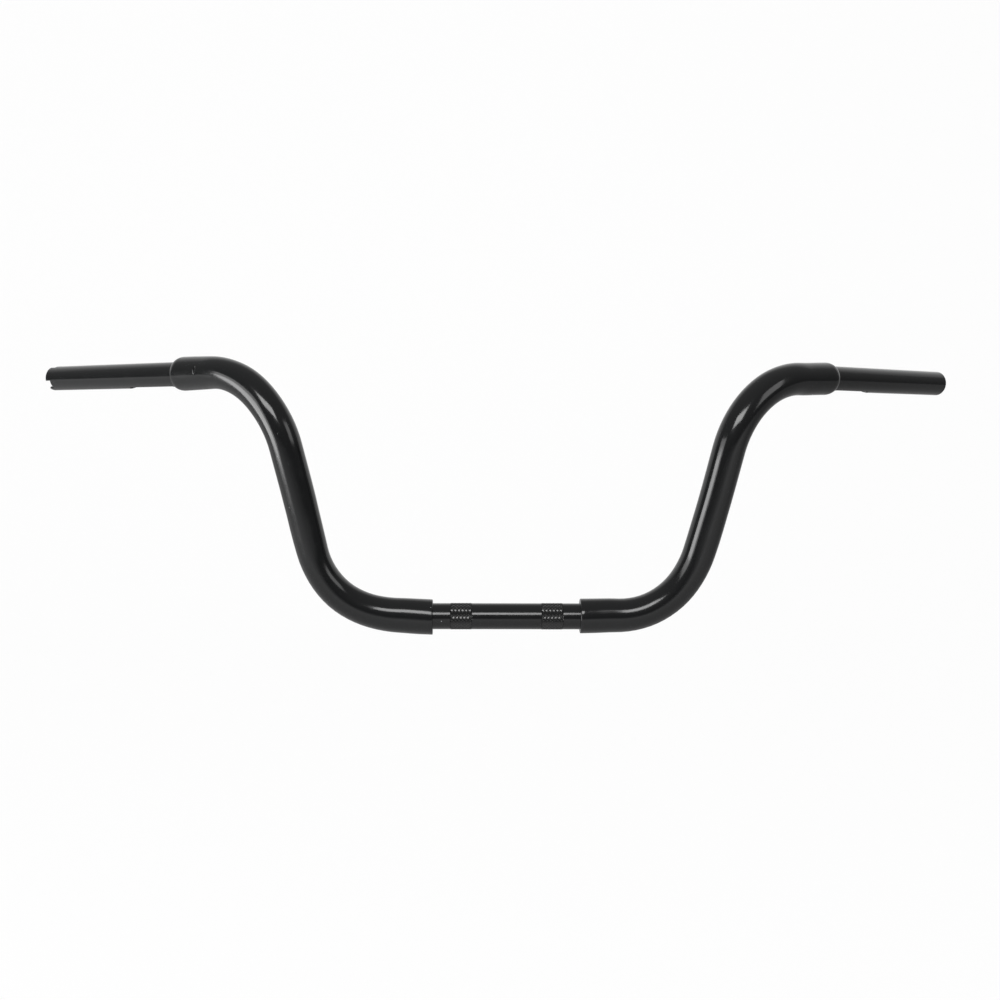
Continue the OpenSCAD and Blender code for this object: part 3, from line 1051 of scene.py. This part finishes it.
def lay_paper_sweep(studio):
    """The floor and the backdrop, one sheet of paper with a round bend between them."""
    empty_hands()
    floor = -studio.floor_drop
    bpy.ops.mesh.primitive_plane_add(
        size=SWEEP_SIZE, location=(0, studio.backdrop_distance - SWEEP_SIZE / 2, floor))
    sweep = bpy.context.object
    sweep.name = sweep.data.name = "paper_sweep"
    bpy.ops.object.transform_apply(location=True, rotation=True, scale=True)
    back_edge = studio.backdrop_distance - MM
    with editing(sweep):
        pick(sweep, lambda e: all(v.co.y > back_edge for v in e.verts), "edges")
        bpy.ops.mesh.extrude_region_move(
            TRANSFORM_OT_translate={"value": (0, 0, BACKDROP_HEIGHT)})
        pick(sweep, lambda e: all(v.co.y > back_edge and v.co.z < floor + MM
                                  for v in e.verts), "edges")
        bpy.ops.mesh.bevel(offset=SWEEP_RADIUS, segments=SWEEP_STEPS)
    bpy.ops.object.shade_smooth()
    sweep.data.materials.append(studio_paper())


def hang_softboxes():
    """The softboxes, each turned to the middle of the bar."""
    for name, (azimuth, height, distance, wide, tall, level) in SOFTBOXES.items():
        azimuth, height = math.radians(azimuth), math.radians(height)
        way = Vector((math.sin(azimuth) * math.cos(height),
                      -math.cos(azimuth) * math.cos(height), math.sin(height)))
        empty_hands()
        bpy.ops.object.light_add(
            type="AREA", location=way * distance,
            rotation=way.to_track_quat("Z", "Y").to_euler())
        lamp = bpy.context.object
        lamp.name = lamp.data.name = name
        lamp.data.shape = "RECTANGLE"
        lamp.data.size, lamp.data.size_y = wide, tall
        # An area lamp of this power has a surface as bright as the level
        lamp.data.energy = level * math.pi * wide * tall


def light_the_room(scene, studio):
    """A dim room, which the camera sees as white."""
    world = bpy.data.worlds.new("studio_room")
    scene.world = world
    world.use_nodes = True
    tree = world.node_tree
    tree.nodes.clear()
    rays = add_node(tree, "ShaderNodeLightPath")
    way = add_node(tree, "ShaderNodeTexCoord")
    slope = add_node(tree, "ShaderNodeVectorMath",
                     {"operation": "DOT_PRODUCT", 1: ROOM_SLOPE},
                     {0: way.outputs["Generated"]}, "brighter_overhead")
    dim = add_node(tree, "ShaderNodeMath",
                   {"operation": "ADD", "use_clamp": True, 1: studio.room_light},
                   {0: slope.outputs["Value"]}, "level_of_the_room")
    room = add_node(tree, "ShaderNodeBackground", {"Color": (1, 1, 1, 1)},
                    {"Strength": dim.outputs["Value"]})
    white = add_node(tree, "ShaderNodeBackground", {"Color": (1, 1, 1, 1), "Strength": 1.0})
    both = add_node(tree, "ShaderNodeMixShader", {},
                    {0: rays.outputs["Is Camera Ray"], 1: room.outputs["Background"],
                     2: white.outputs["Background"]})
    output = add_node(tree, "ShaderNodeOutputWorld")
    tree.links.new(both.outputs["Shader"], output.inputs["Surface"])


def place_camera(scene):
    """The camera that took the photograph, as far as it could be worked out."""
    turned = Matrix((CAMERA_RIGHT, CAMERA_UP, CAMERA_RIGHT.cross(CAMERA_UP))).transposed()
    bpy.ops.object.camera_add(location=CAMERA_PLACE, rotation=turned.to_euler())
    camera = bpy.context.object
    camera.name = camera.data.name = "photo_camera"
    camera.data.sensor_width = SENSOR_WIDTH
    camera.data.lens = FOCAL_RATIO * SENSOR_WIDTH
    camera.data.clip_end = CAMERA_CLIP
    scene.camera = camera


class HANDLEBAR_OT_studio(bpy.types.Operator):
    """Set up the paper sweep, the softboxes, the room light and the camera"""

    bl_idname = "handlebar.studio"
    bl_label = "Studio"

    def execute(self, context):
        studio, scene = sizes("studio"), context.scene
        lay_paper_sweep(studio)
        hang_softboxes()
        light_the_room(scene, studio)
        place_camera(scene)
        scene.view_settings.view_transform = "Standard"
        return {"FINISHED"}


class HANDLEBAR_PT_sidebar(bpy.types.Panel):
    """The handlebar's sizes, colours and operators in the 3D view's sidebar"""

    bl_idname = "HANDLEBAR_PT_sidebar"
    bl_label = "Ape hanger handlebar"
    bl_space_type = "VIEW_3D"
    bl_region_type = "UI"
    bl_category = "Handlebar"

    def draw(self, context):
        for operator in PIECE_OPERATORS + (HANDLEBAR_OT_studio,):
            self.layout.operator(operator.bl_idname)
        for name, group in GROUPS.items():
            box = self.layout.box()
            box.label(text=name.replace("_", " "))
            for prop in group.__annotations__:
                box.prop(getattr(context.scene, name), prop)


PIECE_OPERATORS = (HANDLEBAR_OT_fat_tubes, HANDLEBAR_OT_clamp_tube, HANDLEBAR_OT_grip_tubes)
GROUPS = {
    "thin_tube": ThinTubeSizes, "fat_tube": FatTubeSizes, "clamp_tube": ClampTubeSizes,
    "grip_tube": GripTubeSizes, "finish_colours": FinishColours, "studio": StudioSizes,
}
CLASSES = tuple(GROUPS.values()) + PIECE_OPERATORS + (HANDLEBAR_OT_studio, HANDLEBAR_PT_sidebar)


def register():
    """Registers the classes and hangs each property group on the scene."""
    for cls in CLASSES:
        bpy.utils.register_class(cls)
    for name, group in GROUPS.items():
        setattr(bpy.types.Scene, name, PointerProperty(type=group))


def unregister():
    """Takes the property groups and the classes away again."""
    for name in GROUPS:
        delattr(bpy.types.Scene, name)
    for cls in reversed(CLASSES):
        bpy.utils.unregister_class(cls)


def main():
    """Models the pieces and the studio over the loaded frame."""
    for name in ("Cube", "Light", "Camera"):
        if name in bpy.data.objects:
            bpy.data.objects.remove(bpy.data.objects[name])
    register()
    bpy.ops.handlebar.fat_tubes()
    bpy.ops.handlebar.clamp_tube()
    bpy.ops.handlebar.grip_tubes()
    bpy.ops.handlebar.studio()


if __name__ == "__main__":
    main()
